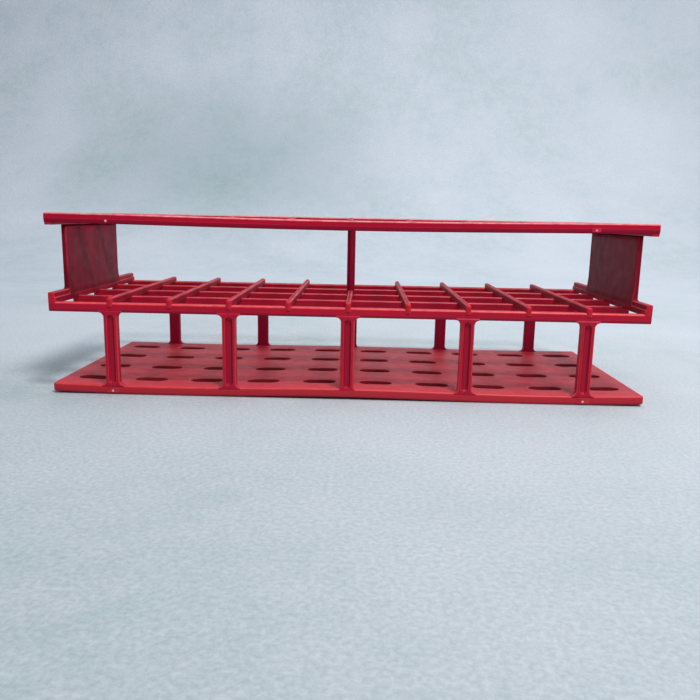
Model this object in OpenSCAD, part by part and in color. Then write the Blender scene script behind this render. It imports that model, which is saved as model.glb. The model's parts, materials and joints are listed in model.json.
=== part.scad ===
// Test tube rack with forty square places, in the wire-look style.
// A slotted base plate carries ten legs, a middle grid, two end panels, a centre post and a top grid.
// Millimetres. X runs along the rack, Y runs from front to rear and Z runs up.
// The origin is the centre of the base plate's underside.

/* [Grid] */
// Distance from one tube place to the next, both ways
pitch = 24.5; // [22:0.5:28]
// Tube places along the rack
columns = 10; // [4:2:12]
// Tube places from front to rear
rows = 4; // [2:2:6]

/* [Heights] */
// Height of the whole rack
rack_h = 74.6; // [68:0.1:90]
// Height of the underside of the middle rails
middle_z = 34.6; // [25:0.1:40]

/* [Base plate] */
// Thickness of the base plate
base_h = 3.7; // [3:0.1:6]
// Length of one drain slot
slot_l = 14.3; // [9:0.1:18]
// Width of one drain slot
slot_w = 6.9; // [4:0.1:8]

/* [Rails] */
// Height of every rail
rail_h = 4; // [3.6:0.1:5]
// Thickness of the front and rear rails
outer_rail_t = 3.5; // [3.2:0.1:5]
// Thickness of the rails between them
inner_rail_t = 2.8; // [2.4:0.1:4]

/* [Cross bars] */
// Width of a cross bar
bar_w = 2.2; // [1.6:0.1:3]
// How far the middle tier's cross bars stand above its rails
bar_rise = 2.3; // [1.5:0.1:4]
// How deep the middle tier's bars are let into its rails
bar_lap = 0.9; // [0.4:0.1:1.2]
// How far a middle cross bar's turned-down end stands proud of the rail
knuckle_t = 0.4; // [0.2:0.1:1]
// How far that turned-down end reaches below the rail's top
knuckle_drop = 1.7; // [1.2:0.1:2.2]
// Depth of the top tier's cross bars, which lie flush in its rails
top_bar_h = 2; // [1.2:0.1:2.4]
// Thickness of the skin that closes each top bar's notch at the rail's face
notch_skin = 1; // [0.6:0.1:1.6]

/* [End bars] */
// Width of an end bar
end_bar_w = 2.9; // [2.7:0.1:4]
// Width of the raised strip on top of a middle end bar
strip_w = 2.4; // [2.2:0.1:2.6]
// Height of that raised strip
strip_h = 2.2; // [1.6:0.1:3]
// How far a middle end bar's strip stands above the middle rails
end_bar_rise = 3.8; // [3.6:0.1:5]
// How far a top end bar hangs below the top rails
end_bar_hang = 0.9; // [0.6:0.1:1.5]

/* [Legs] */
// Width of a leg
leg_w = 5.8; // [4.6:0.1:8]
// Depth of a leg from front to rear
leg_d = 3; // [2.6:0.1:3.2]
// Width of the groove in a leg's outward face
groove_w = 3.2; // [2:0.1:3.6]
// Depth of that groove
groove_d = 1; // [0.4:0.1:1.1]
// Radius of the flare where a leg meets the base and the rail
flare_r = 2.2; // [1:0.1:4]

/* [End panels and post] */
// How far an end panel reaches from the middle of the rack to the front
panel_front = 34.5; // [24:0.1:36]
// How far an end panel reaches from the middle of the rack to the rear
panel_rear = 27.5; // [24:0.1:36]
// Thickness of an end panel
panel_t = 2.3; // [1.6:0.1:2.3]
// Radius of the foot at an end panel's bottom corners
foot_r = 1.5; // [0.6:0.1:2.5]
// Width of the cross-shaped centre post
post_w = 3.8; // [3.4:0.1:5]
// Thickness of the centre post's ribs
post_rib = 1.4; // [1.2:0.1:2]

/* [Hidden] */
// Length of the rack beyond the outermost grid lines
end_margin = 0.75;
rack_l = columns * pitch + 2 * end_margin;
rack_w = rows * pitch + outer_rail_t;
half_l = rack_l / 2;
half_w = rack_w / 2;
rail_inside = half_w - outer_rail_t;
end_inside = half_l - end_bar_w;
middle_top = middle_z + rail_h;
top_z = rack_h - rail_h;
panel_z0 = middle_top + end_bar_rise;
panel_z1 = top_z - end_bar_hang;
panel_x = half_l - strip_w / 2;
// Pegs that hold the legs and the post, and tongues that hold the panels
peg_w = 3;
peg_d = 1.6;
peg_h = 1.5;
post_peg = 1.2;
tongue_t = 1;
tongue_h = 1.2;
tongue_inset = 4;
// How far the top tier's inner rails are let into its end bars
end_lap = 1;
groove_margin = 1.6;
arc_steps = 8;
round_fn = 48;
// Extra length that carries a cut cleanly through a face
cut = 1;

function line_x(i) = (i - columns / 2) * pitch;
function line_y(j) = (j - rows / 2) * pitch;
function arc(cx, cy, r, from, to) = [
    for (k = [0 : arc_steps])
        let (a = from + (to - from) * k / arc_steps)
            [cx + r * cos(a), cy + r * sin(a)]
];
function numbered(name, count) = [for (i = [1 : count]) str(name, "_", i)];

leg_count = columns / 2;
bar_count = columns - 1;
inner_count = rows - 1;

// A box between two opposite corners.
module block(low, high) {
    translate(low) cube(high - low);
}

// A flat slot outline with round ends, along X.
module slot_outline(length, width) {
    square([length - width, width], center = true);
    for (side = [-1, 1]) translate([side * (length - width) / 2, 0]) circle(d = width, $fn = round_fn);
}

// The same piece at the front (side -1) or at the rear (side 1).
module facing(side) {
    if (side < 0) children();
    else mirror([0, 1, 0]) children();
}

// The same piece at the left end (side -1) or at the right end (side 1).
module at_end(side) {
    if (side < 0) children();
    else mirror([1, 0, 0]) children();
}

// The peg of a front leg, as wide as its socket, between two heights.
module leg_peg(x, low, high) {
    y = -half_w + outer_rail_t / 2;
    block([x - peg_w / 2, y - peg_d / 2, low], [x + peg_w / 2, y + peg_d / 2, high]);
}

function leg_x(n) = line_x(2 * n - 1);

module base_plate() {
    color("firebrick") difference() {
        block([-half_l, -half_w, 0], [half_l, half_w, base_h]);
        for (i = [0 : columns - 1], j = [0 : rows - 1])
            translate([line_x(i + 0.5), line_y(j + 0.5), -cut])
                linear_extrude(base_h + 2 * cut) slot_outline(slot_l, slot_w);
        for (n = [1 : leg_count], side = [-1, 1])
            facing(side) leg_peg(leg_x(n), base_h - peg_h, base_h + cut);
    }
}

// Half of a leg's outline as seen from the front, from the base up to the rail.
function leg_half() = concat(
    arc(leg_w / 2 + flare_r, base_h + flare_r, flare_r, 270, 180),
    arc(leg_w / 2 + flare_r, middle_z - flare_r, flare_r, 180, 90)
);

module leg(n, side) {
    right = leg_half();
    left = [for (k = [len(right) - 1 : -1 : 0]) [-right[k].x, right[k].y]];
    groove_l = middle_z - base_h - 2 * groove_margin;
    color("crimson") facing(side) difference() {
        union() {
            translate([leg_x(n), -half_w + leg_d, 0])
                rotate([90, 0, 0]) linear_extrude(leg_d) polygon(concat(right, left));
            leg_peg(leg_x(n), base_h - peg_h, base_h + cut);
            leg_peg(leg_x(n), middle_z - cut, middle_z + peg_h);
        }
        translate([leg_x(n), -half_w + groove_d, (base_h + middle_z) / 2])
            rotate([90, 90, 0]) linear_extrude(groove_d + cut) slot_outline(groove_l, groove_w);
    }
}

// The notches that hold the middle tier's cross bars and end bars in a rail.
module middle_notches(y0, y1) {
    floor_z = middle_top - bar_lap;
    for (i = [1 : bar_count])
        block([line_x(i) - bar_w / 2, y0, floor_z], [line_x(i) + bar_w / 2, y1, middle_top + cut]);
    for (side = [-1, 1]) at_end(side)
        block([-half_l - cut, y0, floor_z], [-end_inside, y1, middle_top + cut]);
}

module middle_outer_rail(side) {
    color("red") facing(side) difference() {
        block([-half_l, -half_w, middle_z], [half_l, -rail_inside, middle_top]);
        middle_notches(-half_w - cut, -rail_inside + cut);
        for (n = [1 : leg_count]) leg_peg(leg_x(n), middle_z - cut, middle_z + peg_h);
    }
}

module middle_inner_rail(j) {
    y0 = line_y(j) - inner_rail_t / 2;
    y1 = line_y(j) + inner_rail_t / 2;
    color("firebrick") difference() {
        block([-half_l, y0, middle_z], [half_l, y1, middle_top]);
        middle_notches(y0 - cut, y1 + cut);
    }
}

// A middle cross bar from the side: a flat bar whose ends turn down over the outer rails.
function staple_half() = concat(
    [[half_w, middle_top - bar_lap], [half_w, middle_top - knuckle_drop]],
    [[half_w + knuckle_t, middle_top - knuckle_drop]],
    arc(half_w + knuckle_t - bar_w / 2, middle_top + bar_rise - bar_w / 2, bar_w / 2, 0, 90)
);

module middle_cross_bar(i) {
    rear = staple_half();
    front = [for (k = [len(rear) - 1 : -1 : 0]) [-rear[k].x, rear[k].y]];
    color("tomato") translate([line_x(i) - bar_w / 2, 0, 0])
        rotate([90, 0, 90]) linear_extrude(bar_w) polygon(concat(rear, front));
}

// The tongue of the left end panel, or the groove that takes it, between two heights.
module tongue(low, high) {
    block(
        [-panel_x - tongue_t / 2, -panel_front + tongue_inset, low],
        [-panel_x + tongue_t / 2, panel_rear - tongue_inset, high]
    );
}

module middle_end_bar(side) {
    strip_z = middle_top + end_bar_rise - strip_h;
    color("tomato") at_end(side) difference() {
        union() {
            block([-half_l, -half_w, middle_top - bar_lap], [-end_inside, half_w, strip_z]);
            block([-half_l, -half_w, middle_top], [-half_l + strip_w, half_w, panel_z0]);
        }
        tongue(panel_z0 - tongue_h, panel_z0 + cut);
    }
}

// An end panel from the side: it spreads in a small fillet where it stands on the end bar.
function panel_outline() = concat(
    arc(-panel_front - foot_r, panel_z0 + foot_r, foot_r, 270, 360),
    [[-panel_front, panel_z1], [panel_rear, panel_z1]],
    arc(panel_rear + foot_r, panel_z0 + foot_r, foot_r, 180, 270)
);

module end_panel(side) {
    color("brown") at_end(side) union() {
        translate([-panel_x - panel_t / 2, 0, 0])
            rotate([90, 0, 90]) linear_extrude(panel_t) polygon(panel_outline());
        tongue(panel_z0 - tongue_h, panel_z0 + cut);
        tongue(panel_z1 - cut, panel_z1 + tongue_h);
    }
}

// The square peg on top of the centre post, and the socket that it fills.
module post_peg_block() {
    block([-post_peg / 2, -post_peg / 2, top_z - cut], [post_peg / 2, post_peg / 2, top_z + post_peg]);
}

// The centre post: two crossed ribs that straddle the middle cross bar and stand on the middle rail.
module centre_post() {
    w = post_w / 2;
    rib = post_rib / 2;
    bar_top = middle_top + bar_rise;
    color("crimson") difference() {
        union() {
            block([-w, -rib, middle_top], [w, rib, top_z]);
            block([-rib, -w, bar_top], [rib, w, top_z]);
            post_peg_block();
        }
        block([-bar_w / 2, -w, middle_top - cut], [bar_w / 2, w, bar_top]);
    }
}

// The notches that hold the top tier's cross bars in a rail.
module top_notches(y0, y1) {
    floor_z = rack_h - top_bar_h;
    for (i = [1 : bar_count])
        block([line_x(i) - bar_w / 2, y0, floor_z], [line_x(i) + bar_w / 2, y1, rack_h + cut]);
}

module top_outer_rail(side) {
    color("red") facing(side) difference() {
        block([-half_l, -half_w, top_z], [half_l, -rail_inside, rack_h]);
        top_notches(-half_w + notch_skin, -rail_inside + cut);
    }
}

module top_inner_rail(j) {
    y0 = line_y(j) - inner_rail_t / 2;
    y1 = line_y(j) + inner_rail_t / 2;
    length = end_inside + end_lap;
    color("firebrick") difference() {
        block([-length, y0, top_z], [length, y1, rack_h]);
        top_notches(y0 - cut, y1 + cut);
        if (j == rows / 2) post_peg_block();
    }
}

module top_cross_bar(i) {
    y = half_w - notch_skin;
    color("tomato")
        block([line_x(i) - bar_w / 2, -y, rack_h - top_bar_h], [line_x(i) + bar_w / 2, y, rack_h]);
}

// A top end bar lies between the outer rails, and its lower lip runs on beneath them.
module top_end_bar(side) {
    color("tomato") at_end(side) difference() {
        union() {
            block([-half_l, -half_w, panel_z1], [-end_inside, half_w, top_z]);
            block([-half_l, -rail_inside, panel_z1], [-end_inside, rail_inside, rack_h]);
        }
        for (j = [1 : inner_count])
            block(
                [-end_inside - end_lap, line_y(j) - inner_rail_t / 2, top_z],
                [-end_inside + cut, line_y(j) + inner_rail_t / 2, rack_h + cut]
            );
        tongue(panel_z1 - cut, panel_z1 + tongue_h);
    }
}

base_plate();
for (n = [1 : leg_count]) {
    leg(n, -1);
    leg(n, 1);
}
middle_outer_rail(-1);  // middle_front_rail
middle_outer_rail(1);  // middle_rear_rail
for (j = [1 : inner_count]) {
    middle_inner_rail(j);
    top_inner_rail(j);
}
for (i = [1 : bar_count]) {
    middle_cross_bar(i);
    top_cross_bar(i);
}
middle_end_bar(-1);  // middle_end_bar_left
middle_end_bar(1);  // middle_end_bar_right
end_panel(-1);  // end_panel_left
end_panel(1);  // end_panel_right
centre_post();
top_outer_rail(-1);  // top_front_rail
top_outer_rail(1);  // top_rear_rail
top_end_bar(-1);  // top_end_bar_left
top_end_bar(1);  // top_end_bar_right
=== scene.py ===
# %% [markdown]
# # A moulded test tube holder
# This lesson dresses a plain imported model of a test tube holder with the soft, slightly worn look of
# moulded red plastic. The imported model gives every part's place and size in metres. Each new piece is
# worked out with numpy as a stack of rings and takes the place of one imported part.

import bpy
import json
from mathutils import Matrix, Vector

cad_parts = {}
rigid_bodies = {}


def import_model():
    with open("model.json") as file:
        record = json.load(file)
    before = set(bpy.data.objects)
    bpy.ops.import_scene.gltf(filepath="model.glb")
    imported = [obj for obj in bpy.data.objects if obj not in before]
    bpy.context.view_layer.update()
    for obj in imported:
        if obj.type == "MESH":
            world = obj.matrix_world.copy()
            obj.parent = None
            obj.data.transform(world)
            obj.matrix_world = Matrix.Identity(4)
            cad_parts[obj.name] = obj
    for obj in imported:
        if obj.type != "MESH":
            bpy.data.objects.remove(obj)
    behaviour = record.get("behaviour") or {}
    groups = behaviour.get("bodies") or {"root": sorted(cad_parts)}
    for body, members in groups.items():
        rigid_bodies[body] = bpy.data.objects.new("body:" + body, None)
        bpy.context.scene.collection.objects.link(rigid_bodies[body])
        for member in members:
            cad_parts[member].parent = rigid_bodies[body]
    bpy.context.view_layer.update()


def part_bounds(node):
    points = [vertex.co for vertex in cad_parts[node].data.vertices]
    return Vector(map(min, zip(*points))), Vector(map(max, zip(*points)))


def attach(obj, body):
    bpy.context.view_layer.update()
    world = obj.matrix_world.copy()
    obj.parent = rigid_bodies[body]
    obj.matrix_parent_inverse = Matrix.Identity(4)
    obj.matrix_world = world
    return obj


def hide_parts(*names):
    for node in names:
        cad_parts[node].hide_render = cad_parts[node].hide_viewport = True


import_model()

# %% [markdown]
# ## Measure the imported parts
# All shapes below are worked out in millimetres, which is how a mould maker would write them down, and become
# metres only when they are put into a mesh. The holder has ten columns and four rows of tube places, which
# are square, and everything in it is spaced by their pitch. The base plate is the largest part, so its half
# length and half width are also the reach of the whole holder.

# %% Tools of the lesson
import json
import math
from collections import namedtuple

import bmesh
import bpy
import numpy as np
from mathutils import Matrix, Vector

MM = 0.001
PITCH, COLUMNS, ROWS = 24.5, 10, 4


def part_box(part):
    """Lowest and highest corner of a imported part, in millimetres, as two arrays."""
    low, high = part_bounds(part)
    return np.array(low) / MM, np.array(high) / MM


LONG_HALF, WIDE_HALF, THICK = part_box("base_plate")[1]
print("half length, half width and thickness of the base in mm:", LONG_HALF, WIDE_HALF, THICK)

# %% [markdown]
# ## Round every edge
# An injection mould is cut with round tools, so no edge of the real holder is sharp. A Bevel modifier could
# round a box, but here the rounding is part of the formula, which also says where the edges are, so that
# the finish can make them paler there: partly rubbed wear, partly a painted highlight.

# %% An outline with rounded corners
Outline = namedtuple("Outline", "points outward rim")


def unit(vectors):
    """Each vector divided by its own length."""
    return vectors / np.linalg.norm(vectors, axis=-1, keepdims=True)


def rounded_outline(corners, radii, steps=4, pace=None):
    """Round the corners of a closed outline that runs anticlockwise.

    Both sides of a corner stop short by the radius over the tangent of half the corner's angle, and an arc
    joins them. The arc's points blend the two radii that touch the sides, weighted by sines, which turns by
    equal angles. With a pace, long sides get points in between, so that the piece can bend later."""
    corners = np.asarray(corners, float)
    radii = np.broadcast_to(np.asarray(radii, float), len(corners))[:, None]
    back = unit(np.roll(corners, 1, axis=0) - corners)
    ahead = unit(np.roll(corners, -1, axis=0) - corners)
    half = np.arccos((back * ahead).sum(axis=1))[:, None] / 2
    centre = corners + unit(back + ahead) * radii / np.sin(half)
    first = corners + back * radii / np.tan(half) - centre
    last = corners + ahead * radii / np.tan(half) - centre
    swing = (math.pi - 2 * half)[:, None]
    share = np.linspace(0, 1, steps + 1)[None, :, None]
    arc = np.sin((1 - share) * swing) * first[:, None] + np.sin(share * swing) * last[:, None]
    arc = arc / np.sin(swing)
    turn = np.sign(back[:, 1] * ahead[:, 0] - back[:, 0] * ahead[:, 1])[:, None, None]
    points = centre[:, None] + arc
    outward = turn * arc / radii[:, None]
    rim = np.broadcast_to(np.sin(math.pi * share[..., 0]) * (turn[..., 0] > 0), points.shape[:2])
    run, facing, worn_and_highlit = [], [], []
    for corner in range(len(corners)):
        run.append(points[corner])
        facing.append(outward[corner])
        worn_and_highlit.append(rim[corner])
        if pace:
            start, end = points[corner, -1], points[(corner + 1) % len(corners), 0]
            count = int(np.linalg.norm(end - start) // pace)
            part = np.linspace(0, 1, count + 2)[1:-1, None]
            run.append(start + (end - start) * part)
            facing.append(np.repeat(outward[corner, -1:], count, axis=0))
            worn_and_highlit.append(np.zeros(count))
    return Outline(np.concatenate(run), np.concatenate(facing), np.concatenate(worn_and_highlit))


print("a rounded square has", len(rounded_outline([(0, 0), (2, 0), (2, 2), (0, 2)], 0.5).points), "points")

# %% [markdown]
# A bar is its outline carried along a line. Its two ends need the same soft edge as its sides, and a plain
# extrusion would leave them sharp, so the last few rings shrink on a quarter circle.

# %% Carry an outline along a straight line
def carried(outline, low, high, axis, soft, steps=4, pace=None, give=1.0):
    """Carry an outline along an axis from low to high, and round the edges of both ends.

    At a quarter turn t from the end the ring stands soft * (1 - cos t) from the end and is drawn in by
    soft * (1 - sin t) * give, so the end's edge is a quarter circle where the outline gives fully. Returns
    the rings and how much of a rim each point is. The outline is seen in (Y, Z), (X, Z) or (X, Y) when the
    axis is x, y or z."""
    quarter = np.linspace(0, math.pi / 2, steps + 1)
    step_in = soft * (1 - np.cos(quarter))
    drawn = soft * (1 - np.sin(quarter))
    between = np.zeros(0)
    if pace:
        between = np.linspace(low + soft, high - soft, max(3, int((high - low) / pace)))[1:-1]
    where = np.concatenate([low + step_in, between, (high - step_in)[::-1]])
    inset = np.concatenate([drawn, np.zeros(len(between)), drawn[::-1]])
    end_rim = np.concatenate([np.sin(2 * quarter), np.zeros(len(between)), np.sin(2 * quarter)[::-1]])
    flat = outline.points - (inset[:, None] * give)[..., None] * outline.outward
    rim = np.maximum(outline.rim, end_rim[:, None])
    along = np.broadcast_to(where[:, None], rim.shape)
    if axis == "x":
        return np.stack([along, flat[..., 0], flat[..., 1]], axis=-1), rim
    if axis == "y":
        return np.stack([flat[..., 0], along, flat[..., 1]], axis=-1)[::-1], rim[::-1]
    return np.stack([flat[..., 0], flat[..., 1], along], axis=-1), rim


# %% [markdown]
# A stack of rings becomes a piece when neighbouring rings are joined by four-sided faces and both ends are
# closed. Edges and painted shade can't be told from a mesh alone later on, so each point also carries two
# amounts: how much of a rim it is, and how much painted shade it gets. A finish reads them by name.

# %% Skin a stack of rings
def band_faces(count, size):
    """Four-sided faces between neighbouring points of neighbouring rings, numbered from the first ring."""
    ring, place = np.meshgrid(np.arange(count - 1), np.arange(size), indexing="ij")
    after = (place + 1) % size
    corners = [ring * size + place, ring * size + after, (ring + 1) * size + after, (ring + 1) * size + place]
    return np.stack(corners, axis=-1).reshape(-1, 4)


def skin(rings):
    """The faces of the band of rings, and one flat face at each end."""
    count, size = rings.shape[:2]
    first_end = list(range(size))[::-1]
    last_end = list(range((count - 1) * size, count * size))
    return band_faces(count, size).tolist() + [first_end, last_end]


# %% Put a piece in the scene
def finished_piece(name, points, faces, rim, finish, stands_for, grime=None):
    """Put points in millimetres and faces into a mesh in metres, with rim and painted shade amounts as
    attributes.

    The Weighted Normal modifier lets the large faces decide the shading, so flats look flat."""
    mesh = bpy.data.meshes.new(name)
    mesh.from_pydata((points.reshape(-1, 3) * MM).tolist(), [], faces)
    mesh.attributes.new("rim", "FLOAT", "POINT").data.foreach_set("value", rim.ravel().astype(np.float32))
    if grime is not None:
        grime = np.broadcast_to(grime, rim.shape).astype(np.float32)
        mesh.attributes.new("grime", "FLOAT", "POINT").data.foreach_set("value", grime.ravel())
    mesh.polygons.foreach_set("use_smooth", np.ones(len(mesh.polygons), bool))
    mesh.validate()
    mesh.materials.append(finish)
    piece = bpy.data.objects.new(name, mesh)
    bpy.context.scene.collection.objects.link(piece)
    flatten = piece.modifiers.new("flat_faces_shade_flat", "WEIGHTED_NORMAL")
    flatten.weight = 90
    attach(piece, "root")
    if stands_for:
        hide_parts(*stands_for)
    return piece


def made(word):
    """How many moulded pieces have a word in their name so far."""
    return sum(word in piece.name for piece in bpy.data.objects if piece.name.startswith("moulded"))


# %% [markdown]
# ## Red moulded plastic
# The holder is polypropylene: a deep crimson all the way through, with a satin skin. Melted plastic leaves
# faint flow streaks along the bars, the edges are paler, partly from rubbing and partly as a painted
# highlight, and the skin has a very fine orange peel.
# The streaks are a noise stretched along the flow, read in the object's own space, so they never slide. An
# image could be wrapped round the pieces instead, but it would need a seam and a scale for each of them.

# %% Small helpers for material nodes
def new_finish(name):
    """An empty node material: its node tree and the one shader that everything feeds."""
    material = bpy.data.materials.new(name)
    material.use_nodes = True
    tree = material.node_tree
    return material, tree, tree.nodes["Principled BSDF"]


def node(tree, kind, values=(), **settings):
    """Add a node, set its properties by name, and its inputs from pairs of socket and value.

    A value that is itself an output socket is linked instead of set."""
    made = tree.nodes.new(kind)
    for key, value in settings.items():
        setattr(made, key, value)
    for socket, value in values:
        if isinstance(value, bpy.types.NodeSocket):
            tree.links.new(value, made.inputs[socket])
        else:
            made.inputs[socket].default_value = value
    return made


def own_space(tree):
    """A point's place on its own piece, in metres. No piece is moved, so all of them share one space."""
    return node(tree, "ShaderNodeTexCoord").outputs["Object"]


def place_along(tree, axis):
    """How far along X, Y or Z a point is."""
    return node(tree, "ShaderNodeSeparateXYZ", [("Vector", own_space(tree))]).outputs[axis]


def painted(tree, attribute):
    """The amount that a piece's points carry under a name, and 0 on a piece without it."""
    return node(tree, "ShaderNodeAttribute", attribute_name=attribute).outputs["Fac"]


# %% Noise, sums and blends
def stretched_noise(tree, scale, detail, roughness, place=(0.0, 0.0, 0.0)):
    """Noise in the object's own space, squeezed by a scale for each axis."""
    mapping = [("Vector", own_space(tree)), ("Location", place), ("Scale", scale)]
    mapped = node(tree, "ShaderNodeMapping", mapping).outputs["Vector"]
    values = [("Vector", mapped), ("Scale", 1.0), ("Detail", detail), ("Roughness", roughness)]
    return node(tree, "ShaderNodeTexNoise", values).outputs["Fac"]


def sum_of(tree, operation, *amounts):
    """One sum over one or two amounts, such as MULTIPLY or ABSOLUTE."""
    return node(tree, "ShaderNodeMath", enumerate(amounts), operation=operation).outputs[0]


def ramp(tree, amount, low, high, start, end):
    """Map an amount between low and high onto start to end, and hold it there outside."""
    pairs = [("Value", amount), ("From Min", low), ("From Max", high), ("To Min", start), ("To Max", end)]
    return node(tree, "ShaderNodeMapRange", pairs).outputs["Result"]


def blended(tree, amount, under, over):
    """Blend one colour over another by an amount. The Mix node's colours are its sockets 6 and 7."""
    return node(tree, "ShaderNodeMix", [(0, amount), (6, under), (7, over)], data_type="RGBA").outputs[2]


# %% [markdown]
# Every red is the same recipe with other amounts, so the recipe is one function and a look is a short list:
# the two crimsons of the streaks, the paler red of the edges, which is partly rubbed wear and partly a
# painted highlight, how rough and shiny it is, and how much of that pale edge there is.

# %% The recipe for red plastic
Look = namedtuple("Look", "deep bright rubbed roughness shine wear")
RUBBED_AND_HIGHLIGHT_RED = (0.95, 0.13, 0.115, 1.0)
PAINTED_SHADE_RED = (0.085, 0.001, 0.018, 1.0)


def red_plastic(name, flow, look, marks=None):
    """Satin red plastic whose flow streaks are a noise stretched along the flow direction.

    Colour runs from deep to bright with the streaks, broad clouds darken it at random, the rims are blended
    towards the pale edge colour, partly rubbed wear and partly a painted highlight, and the painted shade
    amount blends it towards a near-black red. Roughness follows its own noise, and the orange peel and
    streaks press the bump."""
    material, tree, shader = new_finish(name)
    streaks = stretched_noise(tree, flow, detail=4.0, roughness=0.6)
    clouds = stretched_noise(tree, (22.0, 22.0, 30.0), detail=3.0, roughness=0.55, place=(3.0, 1.0, 2.0))
    rubs = stretched_noise(tree, (180.0, 180.0, 180.0), detail=4.0, roughness=0.7, place=(7.0, 5.0, 1.0))
    peel = stretched_noise(tree, (1500.0, 1500.0, 1500.0), detail=2.0, roughness=0.5)
    colour = blended(tree, ramp(tree, streaks, 0.3, 0.7, 0.0, 1.0), look.deep, look.bright)
    colour = blended(tree, ramp(tree, clouds, 0.35, 0.75, 0.0, 0.45), colour, look.deep)
    # Pale edges: partly rubbed wear, partly a painted highlight.
    worn_and_highlit = ramp(tree, rubs, 0.35, 0.65, look.wear * 0.35, look.wear)
    colour = blended(tree, sum_of(tree, "MULTIPLY", painted(tree, "rim"), worn_and_highlit), colour, look.rubbed)
    # Painted shade: blends towards a near-black red where a piece's points carry it.
    colour = blended(tree, painted(tree, "grime"), colour, PAINTED_SHADE_RED)
    if marks:
        colour = marks(tree, colour)
    tree.links.new(colour, shader.inputs["Base Color"])
    uneven = ramp(tree, rubs, 0.3, 0.7, look.roughness - 0.06, look.roughness + 0.1)
    tree.links.new(uneven, shader.inputs["Roughness"])
    pressed = node(tree, "ShaderNodeBump", [("Height", peel), ("Strength", 0.12), ("Distance", 0.00015)])
    flow_bump = [("Height", streaks), ("Strength", 0.25), ("Distance", 0.0003)]
    flowed = node(tree, "ShaderNodeBump", flow_bump + [("Normal", pressed.outputs["Normal"])])
    tree.links.new(flowed.outputs["Normal"], shader.inputs["Normal"])
    shader.inputs["Specular IOR Level"].default_value = look.shine
    return material


# %% [markdown]
# Two places carry marks of their own. Between the rows of slots the melt met and left a dark weld line, and
# the base's front edge gets a brighter band: painted light where the grids above cast no shade. The knuckles
# of the cross bars get the rails' brightness, painted light on the bars' darker red where they face the lamp.
# Both follow a point's own Y, so they need no painting by hand.

# %% Marks of the base and the knuckles
WELD_RED = (0.20, 0.006, 0.02, 1.0)
LIT_FRONT_RED = (0.58, 0.018, 0.034, 1.0)
LIT_KNUCKLE_RED = (0.58, 0.012, 0.034, 1.0)


def base_marks(tree, colour):
    """Weld lines half way between the rows' borders, where the share of a pitch is near one half, and a band
    of painted light along the front edge that fades out over 8 mm."""
    y = place_along(tree, "Y")
    place = sum_of(tree, "FRACT", sum_of(tree, "DIVIDE", y, PITCH * MM))
    off_line = sum_of(tree, "ABSOLUTE", sum_of(tree, "SUBTRACT", place, 0.5))
    colour = blended(tree, ramp(tree, off_line, 0.008, 0.03, 0.5, 0.0), colour, WELD_RED)
    # Painted light: the front strip of the base that the grids above don't shade.
    return blended(tree, ramp(tree, y, -0.047, -0.039, 0.6, 0.0), colour, LIT_FRONT_RED)


def lit_knuckle_mark(tree, colour):
    """Painted light: the rails' brightness, blended in over the last 1.5 mm before a cross bar's turned-down
    ends, which face the lamp like the rails.
    """
    away = sum_of(tree, "ABSOLUTE", place_along(tree, "Y"))
    return blended(tree, ramp(tree, away, 0.0485, 0.0500, 0.0, 0.85), colour, LIT_KNUCKLE_RED)


# %% The looks
grid_look = Look((0.38, 0.003, 0.026, 1.0), (0.55, 0.005, 0.032, 1.0), RUBBED_AND_HIGHLIGHT_RED, 0.36, 0.2, 0.9)
# The top grid's paler, pinker edge is a painted sheen, where its flat top catches the light at a low angle.
top_look = grid_look._replace(rubbed=(0.97, 0.38, 0.37, 1.0), shine=0.12)
# The cross bars are the rails' plastic in a darker copy: painted shade on the bars, whose sides face away
# from the lamp.
shaded_bar_look = Look((0.26, 0.003, 0.024, 1.0), (0.38, 0.005, 0.031, 1.0), RUBBED_AND_HIGHLIGHT_RED, 0.45, 0.14, 0.7)
upright_look = grid_look._replace(roughness=0.4, wear=0.45)
shaded_look = Look(
    (0.21, 0.002, 0.022, 1.0), (0.31, 0.002, 0.030, 1.0), (0.42, 0.02, 0.06, 1.0), 0.42, 0.15, 0.6
)
# The end panels are the same plastic in a darker copy: painted shade on their inner faces, which face
# sideways, away from the lamp.
shaded_panel_look = Look(
    (0.15, 0.003, 0.018, 1.0), (0.25, 0.004, 0.022, 1.0), (0.50, 0.03, 0.06, 1.0), 0.5, 0.12, 0.8
)
# The base's red is greyer than the grids': partly a painted sheen on its flat top.
base_look = Look((0.33, 0.012, 0.026, 1.0), (0.49, 0.022, 0.034, 1.0), RUBBED_AND_HIGHLIGHT_RED, 0.46, 0.3, 0.9)
gate_look = grid_look._replace(rubbed=(0.95, 0.45, 0.47, 1.0), wear=1.0)

# %% The red finishes
ALONG_X, ALONG_Y, ALONG_Z = (14.0, 260.0, 260.0), (260.0, 14.0, 260.0), (260.0, 260.0, 18.0)
frame_finish = red_plastic("grid_red_plastic", ALONG_X, grid_look)
top_finish = red_plastic("top_red_plastic", ALONG_X, top_look)
bar_finish = red_plastic("bar_red_plastic", ALONG_Y, shaded_bar_look, lit_knuckle_mark)
upright_finish = red_plastic("upright_red_plastic", ALONG_Z, upright_look)
shaded_finish = red_plastic("shaded_red_plastic", ALONG_Z, shaded_look)
panel_finish = red_plastic("panel_red_plastic", (40.0, 130.0, 9.0), shaded_panel_look)
base_finish = red_plastic("base_red_plastic", (8.0, 420.0, 160.0), base_look, base_marks)
gate_finish = red_plastic("gate_red_plastic", (260.0, 260.0, 260.0), gate_look)
print("red finishes made:", [made.name for made in bpy.data.materials if "red_plastic" in made.name])

# %% [markdown]
# ## Sag and warp
# Thin polypropylene gives a little with the years. The top grid hangs lowest half way along its front rail,
# and a little at its rear rail. The base plate has a shallow wave from end to end, so it stands on four
# places. A Lattice could bend the pieces, but a formula bends touching pieces by the same amount.

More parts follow.
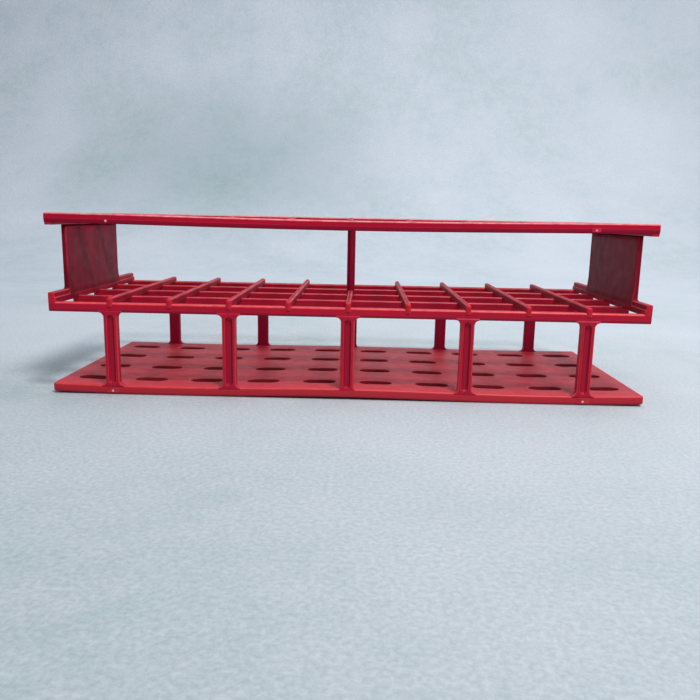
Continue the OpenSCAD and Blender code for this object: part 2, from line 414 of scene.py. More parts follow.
# %% The sag of the top grid and the warp of the base
SAG_FRONT, SAG_REAR, SAG_STARTS = 1.0, 0.3, 0.35
WARP_MIDDLE, WARP_CORNER, STANDS_AT = 0.9, 0.8, 0.62


def near_edge(y, side):
    """0 up to a share of the half width, then rising evenly to 1 at the front (-1) or rear (1) edge."""
    return np.clip((side * y / WIDE_HALF - SAG_STARTS) / (1 - SAG_STARTS), 0, 1)


def sagged(points):
    """Lower points by (1 - (x / half length) squared) squared, times the sag of the edge that is near."""
    x = np.clip(points[..., 0] / LONG_HALF, -1, 1)
    y = points[..., 1]
    moved = points.copy()
    moved[..., 2] -= (1 - x**2) ** 2 * (SAG_FRONT * near_edge(y, -1) ** 2 + SAG_REAR * near_edge(y, 1) ** 2)
    return moved


def warped(points):
    """Lift points by a shallow wave along X: a cosine hump over the middle that ends where the plate
    stands, then a parabola up to the corners. The rear edge is lifted half as much as the front."""
    x = np.abs(np.clip(points[..., 0] / LONG_HALF, -1, 1))
    wave = WARP_MIDDLE / 2 * (1 + np.cos(np.clip(x / STANDS_AT, 0, 1) * math.pi))
    corner = WARP_CORNER * np.clip((x - STANDS_AT) / (1 - STANDS_AT), 0, 1) ** 2
    moved = points.copy()
    moved[..., 2] += (wave + corner) * (0.75 - 0.25 * points[..., 1] / WIDE_HALF)
    return moved


def straight(points):
    """Leave points where they are."""
    return points


print("the middle of the front edge sags by", -sagged(np.array([0.0, -WIDE_HALF, 0.0]))[2], "mm")

# %% [markdown]
# ## The long rails
# Each grid is one moulding of long rails and cross bars. The rails lean back a little above and below the
# mould's parting line, which is why the front of a rail shows a brighter upper band and a darker lower one.
# A plain box with a Bevel couldn't lean, so the rail's section is drawn and carried along.

# %% Long rails
def rail_outline(low, high, lean, parting, round_top, round_bottom):
    """Section of a rail in (Y, Z): both faces lean in above and below the parting line."""
    y0, z0 = low[1], low[2]
    y1, z1 = high[1], high[2]
    top_lean, foot_lean = lean
    corners = [(y0 + foot_lean, z0), (y1 - foot_lean, z0), (y1, parting)]
    corners += [(y1 - top_lean, z1), (y0 + top_lean, z1), (y0, parting)]
    return rounded_outline(corners, [round_bottom, round_bottom, 0.15, round_top, round_top, 0.15])


def long_rail(part, finish, lean, parting_share, round_top, round_bottom, shape=straight):
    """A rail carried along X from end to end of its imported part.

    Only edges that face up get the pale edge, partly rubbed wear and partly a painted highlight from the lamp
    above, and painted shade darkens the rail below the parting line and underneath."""
    low, high = part_box(part)
    parting = low[2] + parting_share * (high[2] - low[2])
    outline = rail_outline(low, high, lean, parting, round_top, round_bottom)
    facing_up = outline.outward[:, 1]
    # Only edges that face up get the pale edge: a painted highlight from the lamp above, on top of rubbed
    # wear.
    outline = outline._replace(rim=outline.rim * np.clip(facing_up + 0.6, 0, 1))
    rings, rim = carried(outline, low[0], high[0], "x", soft=0.3, pace=4.0)
    # Painted shade below the parting line and on faces that look down.
    below = np.clip((parting - outline.points[:, 1]) / (parting - low[2]), 0, 1)
    grime = 0.45 * below + 0.45 * np.clip(-facing_up, 0, 1)
    return finished_piece(
        "moulded_" + part, shape(rings), skin(rings), rim, finish, [part], grime=grime
    )


for part in ("top_front_rail", "top_rear_rail"):
    long_rail(part, top_finish, (0.2, 0.45), 0.45, 0.7, 0.3, sagged)
for part in ("middle_front_rail", "middle_rear_rail"):
    long_rail(part, frame_finish, (0.08, 0.3), 0.3, 0.9, 0.35)
for number in (1, 2, 3):
    long_rail(f"top_inner_rail_{number}", top_finish, (0.1, 0.3), 0.45, 0.4, 0.25, sagged)
    long_rail(f"middle_inner_rail_{number}", frame_finish, (0.08, 0.3), 0.3, 0.45, 0.3)
print("rails made:", made("rail"))

# %% [markdown]
# ## The cross bars
# Seen from the end, a cross bar of the middle grid looks like a staple: it lies over the rails and turns
# down over their outer faces. So its outline is drawn in the side view and carried across the bar's width,
# and the softness of the two ends gives the bar its round back and its round knuckles.

# %% Staple bars of the middle grid
KNUCKLE_LONG, KNUCKLE_THICK = 0.8, 0.9


def staple_bar(part):
    """A cross bar of the middle grid: the staple outline in (Y, Z) carried along X.

    Only the sides that face up or away from the rack give way at the bar's rounded ends. The narrow notch
    over each rail keeps its shape, because there is no room in it for a wide rounding."""
    low, high = part_box(part)
    foot, under = low[2], low[2] + KNUCKLE_LONG
    rail_face = WIDE_HALF - KNUCKLE_THICK
    corners = [(low[1], foot), (-rail_face, foot), (-rail_face, under), (rail_face, under)]
    corners += [(rail_face, foot), (high[1], foot), (high[1], high[2]), (low[1], high[2])]
    outline = rounded_outline(corners, [0.3, 0.1, 0.1, 0.1, 0.1, 0.3, 1.1, 1.1], steps=6)
    away = outline.outward[:, 0] * np.sign(outline.points[:, 0])
    give = 0.1 + 0.9 * np.clip(np.maximum(outline.outward[:, 1], away), 0, 1)
    rings, rim = carried(outline, low[0], high[0], "x", soft=0.85, steps=5, give=give)
    # The pale edge is kept near the knuckles, which face the lamp: a painted highlight there, little along
    # the bar.
    rim = rim * np.clip((np.abs(rings[..., 1]) - WIDE_HALF + 2.5) / 2.0, 0.12, 1)
    return finished_piece("moulded_" + part, rings, skin(rings), rim, bar_finish, [part])


print("a staple bar's knuckles are", KNUCKLE_THICK, "mm thick and", KNUCKLE_LONG, "mm long")

# %% [markdown]
# The top grid's bars lie between the rails instead of over them. The middle one is held up by the post, so
# its front end stands out of the sag. Two faces at exactly one height would flicker between both finishes,
# so the bars lie a hair below the rails' tops.

# %% Flat bars of the top grid
HAIR, HELD_UP, MIDDLE_BAR = 0.02, 0.35, COLUMNS // 2


def flat_bar(part, held):
    """A rounded outline in (X, Z) carried along Y, and sagged with its grid.

    It then drops by a hair, and its front end rises by the held height."""
    low, high = part_box(part)
    corners = [(low[0], low[2]), (high[0], low[2]), (high[0], high[2]), (low[0], high[2])]
    outline = rounded_outline(corners, [0.25, 0.25, 0.5, 0.5])
    rings, rim = carried(outline, low[1], high[1], "y", soft=0.2, pace=3.0)
    risen = held * near_edge(rings[..., 1:2], -1) ** 2 - HAIR
    rings = sagged(rings) + risen * np.array([0.0, 0.0, 1.0])
    return finished_piece("moulded_" + part, rings, skin(rings), rim, bar_finish, [part])


for number in range(1, COLUMNS):
    staple_bar(f"middle_cross_bar_{number}")
    flat_bar(f"top_cross_bar_{number}", HELD_UP if number == MIDDLE_BAR else 0.0)
print("staple bars made:", made("middle_cross_bar"), "flat bars made:", made("top_cross_bar"))

# %% [markdown]
# ## The end bars
# The middle grid ends in a bar with a raised outer strip that the end panel stands on, and a ledge beside
# it. The top grid ends in a plain bar under its rails. Both are outlines carried across the holder, drawn
# once for the right-hand end and mirrored in the numbers, so that no piece needs turning over. The top
# bar's side face stands 0.1 mm inside the middle bar's, and their inner faces are in line.

# %% End bars of both grids
STRIP_IN, LEDGE_UP = 0.5, 2.5


def reach(low, high):
    """How far a part's inner and outer faces are from the holder's middle, along X."""
    return np.sort(np.abs([low[0], high[0]]))


def end_bar(part, corners, radii, shape=straight, short=0.0):
    """An end bar: its outline in (X, Z), given for the right-hand end, carried along Y across the holder."""
    low, high = part_box(part)
    side = 1.0 if high[0] > 0 else -1.0
    corners = [(side * x, z) for x, z in corners][:: int(side)]
    outline = rounded_outline(corners, radii[:: int(side)])
    rings, rim = carried(outline, low[1] + short, high[1] - short, "y", soft=0.3, pace=4.0)
    return finished_piece(
        "moulded_" + part, shape(rings), skin(rings), rim, bar_finish, [part]
    )


for side in ("left", "right"):
    low, high = part_box("middle_end_bar_" + side)
    inner, outer = reach(low, high)
    strip, ledge = inner + STRIP_IN, low[2] + LEDGE_UP
    corners = [(inner, low[2]), (outer, low[2]), (outer, high[2])]
    corners += [(strip, high[2]), (strip, ledge + 0.2), (inner, ledge)]
    end_bar("middle_end_bar_" + side, corners, [0.3, 0.3, 0.5, 0.5, 0.25, 0.3])
    low, high = part_box("top_end_bar_" + side)
    side_face, top_face = outer - 0.1, high[2] - 0.1
    corners = [(inner, low[2]), (side_face, low[2]), (side_face, top_face), (inner, top_face)]
    end_bar("top_end_bar_" + side, corners, [0.3, 0.3, 0.5, 0.4], sagged, short=0.5)
print("end bars made:", made("end_bar"), "with the ledge at", ledge, "mm")

# %% [markdown]
# ## Legs
# A leg is a flat strip with a shallow channel in its outer face. It widens in a quarter circle where it
# meets the rail and the base, and the channel ends in two scoops. A Boolean could cut the channel out, but
# all of it is also one function of height: how much the strip is widened, how narrow the channel is and how
# deep.

# %% Shape of a leg at a height
FLARE, SCOOP = 2.2, 1.6
LEG_HALF, LEG_DEEP = 2.9, 3.0
CHANNEL_HALF, FLOOR_HALF, CHANNEL_DEEP = 1.6, 0.85, 1.0
RAIL_FOOT = part_box("middle_front_rail")[0][2]


def quarter_flare(distance, radius):
    """How far a quarter-circle fillet stands out at a distance from the face that it grows from."""
    inside = np.clip(radius - distance, 0, radius)
    return radius - np.sqrt(radius**2 - inside**2)


def leg_outline():
    """Section of a leg: Y is 0 at its outer face and grows inwards, and the channel is cut into Y = 0."""
    corners = [(-LEG_HALF, 0), (-CHANNEL_HALF, 0), (-FLOOR_HALF, CHANNEL_DEEP), (FLOOR_HALF, CHANNEL_DEEP)]
    corners += [(CHANNEL_HALF, 0), (LEG_HALF, 0), (LEG_HALF, LEG_DEEP), (-LEG_HALF, LEG_DEEP)]
    return rounded_outline(corners, [0.7, 0.3, 0.35, 0.35, 0.3, 0.7, 0.5, 0.5], steps=4)


def leg_heights(foot, head):
    """Heights of the rings: close together in both flares and both scoops, wide apart between them."""
    fine = np.linspace(0, FLARE, 9)
    scoop = SCOOP * (1 - np.cos(np.linspace(0, 1, 7) * math.pi / 2))
    between = np.linspace(foot + FLARE, head - FLARE, 12)
    ends = [foot - 1.0, head + 0.9]
    heights = [ends, foot + fine, head - fine, foot + 1.0 + scoop, head - 1.0 - scoop, between]
    return np.unique(np.concatenate(heights).round(4))[:, None]


# %% Legs
SET_BACK = 0.005


def leg(part):
    """A leg as rings in (X, Y) stacked up Z.

    Outside the channel X is pushed out by the flare. In the channel X and the depth are drawn together by
    the square root of 1 - (1 - distance into the scoop) squared, a quarter of an ellipse."""
    low, high = part_box(part)
    outer_face = 1.0 if high[1] > 0 else -1.0
    outline = leg_outline()
    x, y = outline.points.T
    foot, head = THICK, RAIL_FOOT
    heights = leg_heights(foot, head)
    widening = quarter_flare(np.minimum(heights - foot, head - heights), FLARE)
    widening = np.where((heights < foot) | (heights > head), FLARE, widening)
    from_end = np.clip((np.minimum(heights - foot, head - heights) - 1.0) / SCOOP, 0, 1)
    open_share = np.sqrt(1 - (1 - from_end) ** 2)
    in_channel = (np.abs(x) < CHANNEL_HALF + 0.25) & (y < LEG_DEEP / 2)
    ring_x = np.where(in_channel, x * (0.25 + 0.75 * open_share), x + np.sign(x) * widening)
    ring_y = outer_face * (WIDE_HALF - SET_BACK - np.where(in_channel, y * open_share, y))
    middle = (low[0] + high[0]) / 2
    rings = np.stack([middle + ring_x, ring_y, np.broadcast_to(heights, ring_x.shape)], axis=-1)
    rim = np.broadcast_to(outline.rim, ring_x.shape)
    # Painted shade on the channel's floor.
    grime = 0.25 * np.broadcast_to(in_channel * np.clip(y / 0.8, 0, 1), ring_x.shape)
    if outer_face > 0:
        rings, rim, grime = rings[:, ::-1], rim[:, ::-1], grime[:, ::-1]
    finish = upright_finish if outer_face < 0 else shaded_finish
    return finished_piece(
        "moulded_" + part, rings, skin(rings), rim, finish, [part], grime=grime
    )


for number in range(1, 6):
    leg(f"front_leg_{number}")
    leg(f"rear_leg_{number}")
print("legs made:", made("leg"), "from", THICK, "to", RAIL_FOOT, "mm up")

# %% [markdown]
# ## End panels
# A panel is a flat slab between the grids. Its outer half stands on the end bar's strip, and its inner half
# runs on down as an apron over the strip's inner side. Both spread a little at the foot. One slab whose
# inner and outer points move by different amounts with the height keeps it a single closed skin.

# %% End panels
FOOT, APRON_FOOT, APRON_LONG = 1.5, 2.0, 4.0
low, high = part_box("middle_end_bar_left")
PANEL_FOOT, LEDGE, APRON_FACE = high[2], low[2] + LEDGE_UP, reach(low, high)[0] + 0.03
PANEL_HEAD = part_box("top_end_bar_left")[0][2]


def panel_heights():
    """Heights of the rings: close together at the apron's and the strip's feet, wide apart above."""
    apron = LEDGE + np.linspace(0, APRON_FOOT, 7)
    stand = PANEL_FOOT + np.linspace(0.05, FOOT, 7)
    above = np.linspace(PANEL_FOOT + FOOT, PANEL_HEAD + 0.8, 9)[1:]
    return np.concatenate([[LEDGE - 0.6], apron, stand, above])[:, None]


def end_panel(part):
    """A slab with round edges, as rings in (X, Y) stacked up Z.

    Near the front and rear edges Y is pushed out by a quarter circle above the face that the point grows
    from. The inner side comes forward to the apron's face by 3 t squared - 2 t cubed of the way down."""
    low, high = part_box(part)
    side = np.sign(low[0])
    inner, outer = reach(low, high)
    front, rear = low[1] + FOOT, high[1] - FOOT
    corners = [(inner, front), (outer, front), (outer, rear), (inner, rear)]
    outline = rounded_outline(corners, [0.9, 0.5, 0.5, 0.9], steps=5, pace=6.0)
    heights = panel_heights()
    x, y = outline.points.T
    is_inner = (outer - x) / (outer - inner) > 0.6
    apron = quarter_flare(np.clip(heights - LEDGE, 0, None), APRON_FOOT)
    stand = quarter_flare(np.clip(heights - PANEL_FOOT, 0, None), FOOT)
    by_edge = np.clip(np.maximum(front + 2.0 - y, y - rear + 2.0) / 2.0, 0, 1)
    ring_y = y + np.sign(y) * np.where(is_inner, apron, stand) * by_edge
    down = np.clip((PANEL_FOOT + APRON_LONG - heights) / (APRON_LONG + 1.0), 0, 1)
    forward = (inner - APRON_FACE) * down**2 * (3 - 2 * down)
    ring_x = np.broadcast_to(side * (x - forward * is_inner), ring_y.shape)
    rings = np.stack([ring_x, ring_y, np.broadcast_to(heights, ring_y.shape)], axis=-1)
    rim = np.broadcast_to(outline.rim, ring_y.shape)
    if side < 0:
        rings, rim = rings[:, ::-1], rim[:, ::-1]
    return finished_piece("moulded_" + part, rings, skin(rings), rim, panel_finish, [part])


end_panel("end_panel_left")
end_panel("end_panel_right")
print("end panels made:", made("end_panel"), "from", LEDGE, "to", PANEL_HEAD, "mm up")

# %% [markdown]
# ## Centre post
# The post under the middle of the top grid has a cross for its section, which is stiff and cools evenly. Its
# twelve corners go once round the cross, and the outline is carried straight up.

# %% Centre post
low, high = part_box("centre_post")
arm, thin = high[0], 0.7
quarter_of_cross = [(thin, thin), (thin, arm), (-thin, arm)]
cross = quarter_of_cross + [(-y, x) for x, y in quarter_of_cross]
cross = cross + [(-x, -y) for x, y in cross]
post_outline = rounded_outline(cross, [0.35, 0.4, 0.4] * 4)
rings, rim = carried(post_outline, low[2], high[2], "z", soft=0.2, pace=3.0)
finished_piece(
    "moulded_centre_post", rings, skin(rings), rim * 0.5, shaded_finish, ["centre_post"]
)
print("centre post made, its arms reach", arm, "mm")

# %% [markdown]
# ## The base plate and its forty slots
# The plate is a chessboard of equal cells with one slot in each. One cell is a band that runs from the
# cell's square border inwards over the top, down the slot's wall and out again underneath. The cell is
# worked out once, copied forty times by adding the places of the columns and rows, and welded. Forty
# Booleans would do it too, but they leave ragged faces that shade badly.

# %% Borders of one slot cell
SLOT_HALF, SLOT_ROUND = 7.15, 3.45
SIDE_STEPS = 12


def square_border(half):
    """Points at even steps round a square, anticlockwise from its lower right corner."""
    step = np.linspace(-half, half, SIDE_STEPS + 1)[:-1]
    fixed = np.full(SIDE_STEPS, half)
    right, top = np.stack([fixed, step], -1), np.stack([-step, fixed], -1)
    return np.concatenate([right, top, -right, -top])


def slot_border(grow):
    """The slot's outline grown by a distance: two half circles and two straight sides, point for point with
    the square's right, top, left and bottom sides."""
    part = np.linspace(0, 1, SIDE_STEPS + 1)[:-1]
    angle = (part - 0.5) * math.pi
    centre, radius = SLOT_HALF - SLOT_ROUND, SLOT_ROUND + grow
    right = np.stack([centre + radius * np.cos(angle), radius * np.sin(angle)], -1)
    top = np.stack([centre * (1 - 2 * part), np.full(SIDE_STEPS, radius)], -1)
    return np.concatenate([right, top, -right, -top])


def at_heights(flat, heights):
    """Give each ring of (X, Y) points one height."""
    heights = np.broadcast_to(np.asarray(heights)[:, None, None], flat.shape[:2] + (1,))
    return np.concatenate([flat, heights], -1)


# %% One slot cell
def slot_cell(thick, round_top, round_foot):
    """Rings of one cell from the square border on top, over the rim, down the wall, to the border below."""
    border = square_border(PITCH / 2)
    quarter = np.linspace(0, math.pi / 2, 5)
    rings, heights, rims = [border], [thick], [0.0]
    for share in (0.5, 0.8):
        rings.append(border + (slot_border(round_top) - border) * share)
        heights.append(thick)
        rims.append(0.0)
    for turn in quarter:
        rings.append(slot_border(round_top * (1 - np.sin(turn))))
        heights.append(thick - round_top * (1 - np.cos(turn)))
        rims.append(math.sin(2 * turn))
    for turn in quarter[::-1]:
        rings.append(slot_border(round_foot * (1 - np.sin(turn))))
        heights.append(round_foot * (1 - np.cos(turn)))
        rims.append(0.0)
    return at_heights(np.stack(rings + [border]), heights + [0.0]), rims + [0.0]


cell, cell_rims = slot_cell(THICK, round_top=0.45, round_foot=0.3)
print("a cell is", cell.shape[0], "rings of", cell.shape[1], "points")

# %% [markdown]
# Round the chessboard runs a narrow border with a soft edge. It uses the cells' own border points, so the
# weld finds a partner for each of them.

# %% The plate's edge
EDGE_OVER, EDGE_UNDER, CORNER, FAN = 0.75, 0.9, 1.2, 6


def edge_path():
    """Where each point of the plate's edge starts, ends and which way it faces, anticlockwise.

    Along a side a point moves straight out. At a corner the same point is used several times and fans out
    into a quarter circle."""
    inner = np.array([COLUMNS * PITCH / 2, ROWS * PITCH / 2])
    outer = np.array([LONG_HALF, WIDE_HALF])
    side_long = np.linspace(-inner[0], inner[0], COLUMNS * SIDE_STEPS + 1)[1:-1]
    side_wide = np.linspace(-inner[1], inner[1], ROWS * SIDE_STEPS + 1)[1:-1]
    turn = np.linspace(0, math.pi / 2, FAN + 1)
    starts, ends, ways = [], [], []
    for quadrant, (sx, sy) in enumerate(((1, -1), (1, 1), (-1, 1), (-1, -1))):
        angle = turn + math.pi / 2 * (quadrant - 1)
        way = np.stack([np.cos(angle), np.sin(angle)], -1)
        starts.append(np.repeat([inner * (sx, sy)], FAN + 1, axis=0))
        ends.append((outer - CORNER) * (sx, sy) + CORNER * way)
        ways.append(way)
        if quadrant % 2 == 0:
            run = sx * side_wide
            starts.append(np.stack([np.full(len(run), sx * inner[0]), run], -1))
            ends.append(np.stack([np.full(len(run), sx * outer[0]), run], -1))
            ways.append(np.repeat([[float(sx), 0.0]], len(run), axis=0))
        else:
            run = -sy * side_long
            starts.append(np.stack([run, np.full(len(run), sy * inner[1])], -1))
            ends.append(np.stack([run, np.full(len(run), sy * outer[1])], -1))
            ways.append(np.repeat([[0.0, float(sy)]], len(run), axis=0))
    return np.concatenate(starts), np.concatenate(ends), np.concatenate(ways)


def plate_edge(thick):
    """Rings round the plate: from the cells' border, over the edge in two quarter circles, back below."""
    starts, ends, ways = edge_path()
    quarter = np.linspace(0, math.pi / 2, 6)
    steps_in = np.concatenate([EDGE_OVER * (1 - np.sin(quarter)), (EDGE_UNDER * (1 - np.sin(quarter)))[::-1]])
    upper = thick - EDGE_OVER * (1 - np.cos(quarter))
    lower = (EDGE_UNDER * (1 - np.cos(quarter)))[::-1]
    rims = np.concatenate([[0.0], np.sin(2 * quarter), 0 * quarter, [0.0]])
    flat = np.concatenate([starts[None], ends - steps_in[:, None, None] * ways, starts[None]])
    return at_heights(flat, np.concatenate([[thick], upper, lower, [0.0]])), rims


edge, edge_rims = plate_edge(THICK)
print("the edge is", edge.shape[0], "rings of", edge.shape[1], "points")

# %% [markdown]
# The plate gets painted shade low on its edge and down in the slots. It is worked out from each point's
# height before the plate is warped. The cells run inwards and the edge outwards, so the edge's faces are
# turned round before both are welded.

# %% Gather the plate's points, faces and amounts
columns = (np.arange(COLUMNS) - (COLUMNS - 1) / 2) * PITCH
rows = (np.arange(ROWS) - (ROWS - 1) / 2) * PITCH
places = np.stack(np.meshgrid(columns, rows, [0.0], indexing="ij"), -1).reshape(-1, 3)
cells = (cell.reshape(-1, 3)[None] + places[:, None]).reshape(-1, 3)
points = np.concatenate([cells, edge.reshape(-1, 3)])
first_points = np.arange(len(places)) * cell.shape[0] * cell.shape[1]
slot_faces = (band_faces(*cell.shape[:2])[None] + first_points[:, None, None]).reshape(-1, 4)
edge_faces = band_faces(*edge.shape[:2])[:, ::-1] + len(cells)
slot_rims = np.tile(np.repeat(cell_rims, cell.shape[1]), len(places))
rim = np.concatenate([slot_rims, np.repeat(edge_rims, edge.shape[1])])
# Painted shade low on the plate's edge and down the slots' walls, none on the top face.
lower = np.clip(1.15 - points[:, 2] / THICK, 0, 1)
in_slot = np.arange(len(points)) < len(cells)
grime = np.where(in_slot, 0.6 * np.clip(lower * 1.5, 0, 1), 0.8 * np.clip(lower - 0.35, 0, 1))
grime[points[:, 2] >= THICK - 0.01] = 0.0
faces = np.concatenate([slot_faces, edge_faces]).tolist()
print("slots:", len(places), "faces before welding:", len(faces))

# %% Weld the plate together
base_plate = finished_piece(
    "moulded_base_plate", warped(points), faces, rim, base_finish, ["base_plate"], grime=grime
)
weld = bmesh.new()
weld.from_mesh(base_plate.data)
bmesh.ops.remove_doubles(weld, verts=weld.verts, dist=1e-6)
bmesh.ops.recalc_face_normals(weld, faces=weld.faces)
weld.to_mesh(base_plate.data)
open_edges = sum(len(line.link_faces) != 2 for line in weld.edges)
print("base plate faces:", len(base_plate.data.polygons), "open edges:", open_edges)
weld.free()

# %% [markdown]
# ## Gate marks
# Where the melt entered the mould, a small pad and a paler dot stay behind: on the base's front face below
# the outermost legs, and on the top front rail above them. They are small, but a real moulding always has
# them, and the eye misses them when they aren't there. They are pieces of their own, sunk into the face.

# %% Pads and dots
PAD_PROUD, PAD_SUNK = 0.1, 0.9
DOT_PROUD = 0.3


def pad(name, x, z, wide, tall):
    """A flat pad: a rounded rectangle in (X, Z), carried along Y from just proud of the front face."""
    left, right, foot, head = x - wide / 2, x + wide / 2, z - tall / 2, z + tall / 2
    outline = rounded_outline([(left, foot), (right, foot), (right, head), (left, head)], [0.3] * 4)
    rings, rim = carried(outline, -WIDE_HALF - PAD_PROUD, -WIDE_HALF + PAD_SUNK, "y", soft=0.08)
    return finished_piece(name, rings, skin(rings), rim * 0.4, frame_finish, [])


def dot(name, x, z, radius):
    """A dome on the front face: at a turn t its ring has the radius r * cos t and stands h * sin t proud."""
    turn = np.linspace(-0.4, 1.45, 7)[:, None]
    angle = np.linspace(0, 2 * math.pi, 17)[None, :-1]
    ring_x = x + radius * np.cos(turn) * np.cos(angle)
    ring_z = z + radius * np.cos(turn) * np.sin(angle)
    ring_y = np.broadcast_to(-WIDE_HALF - DOT_PROUD * np.sin(turn), ring_x.shape)
    rings = np.stack([ring_x, ring_y, ring_z], axis=-1)
    return finished_piece(name, rings, skin(rings), np.ones(ring_x.shape), gate_finish, [])


GATE_X = 4 * PITCH
for side, x in (("left", -GATE_X), ("right", GATE_X)):
    pad("base_gate_pad_" + side, x, 1.9, 5.4, 2.2)
    dot("base_gate_dot_" + side, x, 1.5, 0.55)
    dot("top_gate_dot_" + side, x, 71.6, 0.5)
pad("top_gate_pad_right", GATE_X, 71.8, 3.6, 1.6)
print("gate marks made at", GATE_X, "mm to both sides")

# %% [markdown]
# ## Paper floor
# The holder stands on pale blue-grey paper that sweeps up behind it, as in a small studio. A floor and a
# wall would meet in a hard line, so both are one sheet with a quarter circle between them. The paper has
# broad washes, blots and a fine grain. Painted shade darkens it towards the front and in a broad pool on the
# left of the wall, and painted light makes it paler towards the right.

# %% Paper sweep
def paper_sweep():
    """Floor, quarter circle and wall as one profile in (Y, Z), in metres, carried along X."""
    near, far, radius, top, half, lines = -2.0, 0.55, 0.5, 1.9, 3.0, 13
    quarter = np.linspace(0, math.pi / 2, 24)
    y = np.concatenate([[near], np.linspace(-0.5, far, 12), far + radius * np.sin(quarter), [far + radius]])
    z = np.concatenate([np.zeros(13), radius * (1 - np.cos(quarter)), [top]])
    x, y = np.meshgrid(np.linspace(-half, half, lines), y, indexing="ij")
    points = np.stack([x, y, np.broadcast_to(z, x.shape)], -1)
    size = len(z)
    across, along = np.meshgrid(np.arange(lines - 1), np.arange(size - 1), indexing="ij")
    first, after = across * size + along, (across + 1) * size + along
    faces = np.stack([first, after, after + 1, first + 1], -1)
    mesh = bpy.data.meshes.new("paper_sweep")
    mesh.from_pydata(points.reshape(-1, 3).tolist(), [], faces.reshape(-1, 4).tolist())
    mesh.polygons.foreach_set("use_smooth", np.ones(len(mesh.polygons), bool))
    sweep = bpy.data.objects.new("paper_sweep", mesh)
    bpy.context.scene.collection.objects.link(sweep)
    return sweep


sweep = paper_sweep()
print("paper faces:", len(sweep.data.polygons))

# %% Paper finish
WASH_DEEP, WASH_PALE = (0.50, 0.61, 0.63, 1.0), (0.72, 0.77, 0.85, 1.0)
BLOT_GREY, GRAIN_GREY = (0.74, 0.755, 0.80, 1.0), (0.20, 0.24, 0.28, 1.0)
NEAR_SHADE_GREY, SHADE_POOL_GREEN = (0.08, 0.11, 0.12, 1.0), (0.20, 0.29, 0.31, 1.0)
LIT_RIGHT_PALE = (0.86, 0.89, 0.95, 1.0)

paper, tree, shader = new_finish("pale_paper")
washes = stretched_noise(tree, (5.0, 5.0, 5.0), detail=6.0, roughness=0.62)
blots = stretched_noise(tree, (60.0, 60.0, 60.0), detail=8.0, roughness=0.8, place=(2.0, 4.0, 1.0))
grain = stretched_noise(tree, (700.0, 700.0, 700.0), detail=3.0, roughness=0.7)
tone = blended(tree, ramp(tree, washes, 0.36, 0.64, 0.0, 1.0), WASH_DEEP, WASH_PALE)
tone = blended(tree, ramp(tree, blots, 0.36, 0.64, 0.0, 0.75), tone, BLOT_GREY)
tone = blended(tree, ramp(tree, grain, 0.35, 0.65, 0.0, 0.36), tone, GRAIN_GREY)
# Painted shade: the paper grows darker towards the front.
tone = blended(tree, ramp(tree, place_along(tree, "Y"), -0.25, 0.5, 0.46, 0.0), tone, NEAR_SHADE_GREY)
# Painted shade: a broad darker pool on the left of the wall.
shade_pool_place = [("Vector", own_space(tree)), ("Location", (0.7, -2.8, -0.9)), ("Scale", (3.0, 3.0, 5.5))]
shade_pool = node(tree, "ShaderNodeMapping", shade_pool_place).outputs["Vector"]
spread = node(tree, "ShaderNodeVectorMath", [(0, shade_pool)], operation="LENGTH").outputs["Value"]
tone = blended(tree, ramp(tree, spread, 0.2, 1.1, 0.40, 0.0), tone, SHADE_POOL_GREEN)
# Painted light: the paper grows paler towards the right.
tone = blended(tree, ramp(tree, place_along(tree, "X"), -0.1, 0.5, 0.0, 0.28), tone, LIT_RIGHT_PALE)
tree.links.new(tone, shader.inputs["Base Color"])
tree.links.new(ramp(tree, blots, 0.3, 0.7, 0.6, 0.75), shader.inputs["Roughness"])
shader.inputs["Specular IOR Level"].default_value = 0.2
pressed = node(tree, "ShaderNodeBump", [("Height", grain), ("Strength", 0.2), ("Distance", 0.0005)])
tree.links.new(pressed.outputs["Normal"], shader.inputs["Normal"])
sweep.data.materials.append(paper)
print("nodes in the paper finish:", len(tree.nodes))

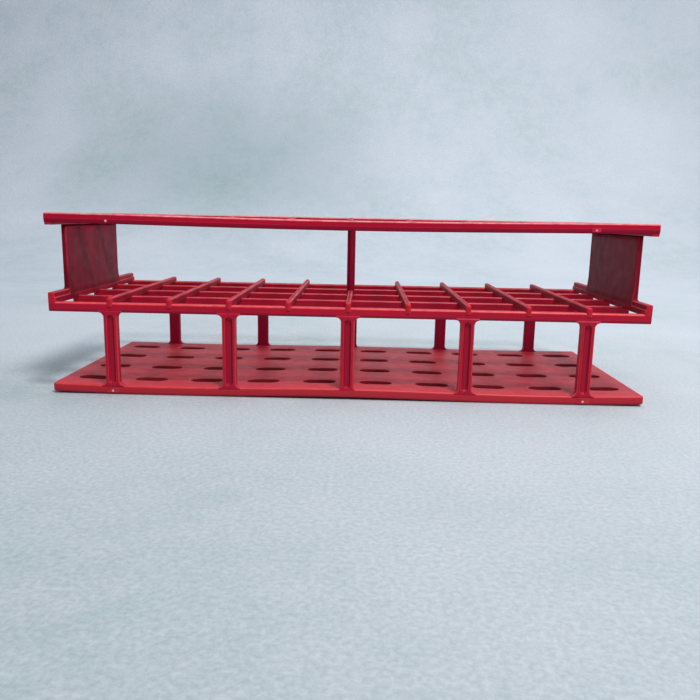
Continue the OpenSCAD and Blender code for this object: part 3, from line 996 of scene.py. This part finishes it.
# %% [markdown]
# ## Light
# One small square lamp hangs high in front on the right and gives the rails their bright upper bands and the
# holder its shadow. A broad one over the back of the holder evens out the paper, and a pale blue sky fills
# the shade, as in a room with a large window.

# %% Lamps and sky
def soft_lamp(name, place, target, width, power, colour):
    """A square lamp of some width at a place, turned to face a target."""
    light = bpy.data.lights.new(name, "AREA")
    light.shape = "RECTANGLE"
    light.size, light.size_y = width, width
    light.energy = power
    light.color = colour
    lamp = bpy.data.objects.new(name, light)
    bpy.context.scene.collection.objects.link(lamp)
    lamp.location = place
    lamp.rotation_euler = (Vector(target) - Vector(place)).to_track_quat("-Z", "Y").to_euler()
    return lamp


soft_lamp("window_lamp", (0.30, -0.50, 0.95), (0.0, 0.0, 0.04), 0.22, 9.5, (1.0, 0.99, 0.97))
soft_lamp("ceiling_lamp", (0.1, 0.40, 1.4), (0.0, 0.40, 0.0), 1.2, 11.0, (0.95, 0.98, 1.0))
world = bpy.data.worlds.new("room_light")
world.use_nodes = True
sky = world.node_tree.nodes["Background"]
sky.inputs["Color"].default_value = (0.78, 0.88, 1.0, 1.0)
sky.inputs["Strength"].default_value = 0.30
bpy.context.scene.world = world
bpy.context.scene.view_settings.view_transform = "Standard"
print("lamps:", [lamp.name for lamp in bpy.data.lights])

# %% [markdown]
# ## Camera
# The camera looks at the holder from the front, only just above its top grid, and is turned a hair to the
# side. Its three directions are given as they are, because two angles and a target can't say a small roll.
# A camera looks along its own -Z, so the way ahead goes into the matrix with its sign turned.

# %% Camera
RIGHT = Vector((0.99961, 0.02041, 0.0193))
AHEAD = Vector((-0.01644, 0.98214, -0.18744))
UP = Vector((-0.02278, 0.18705, 0.98209))
PLACE = (0.005859, -0.334602, 0.075403)

lens = bpy.data.cameras.new("camera")
lens.sensor_width = 36.0
lens.lens = 36.063
lens.clip_start = 0.01
camera = bpy.data.objects.new("camera", lens)
turned = Matrix([RIGHT, UP, -AHEAD]).transposed()
camera.matrix_world = Matrix.Translation(PLACE) @ turned.to_4x4()
bpy.context.scene.collection.objects.link(camera)
bpy.context.scene.camera = camera
print("camera", round((camera.matrix_world.translation.length) / MM), "mm from the holder's middle")
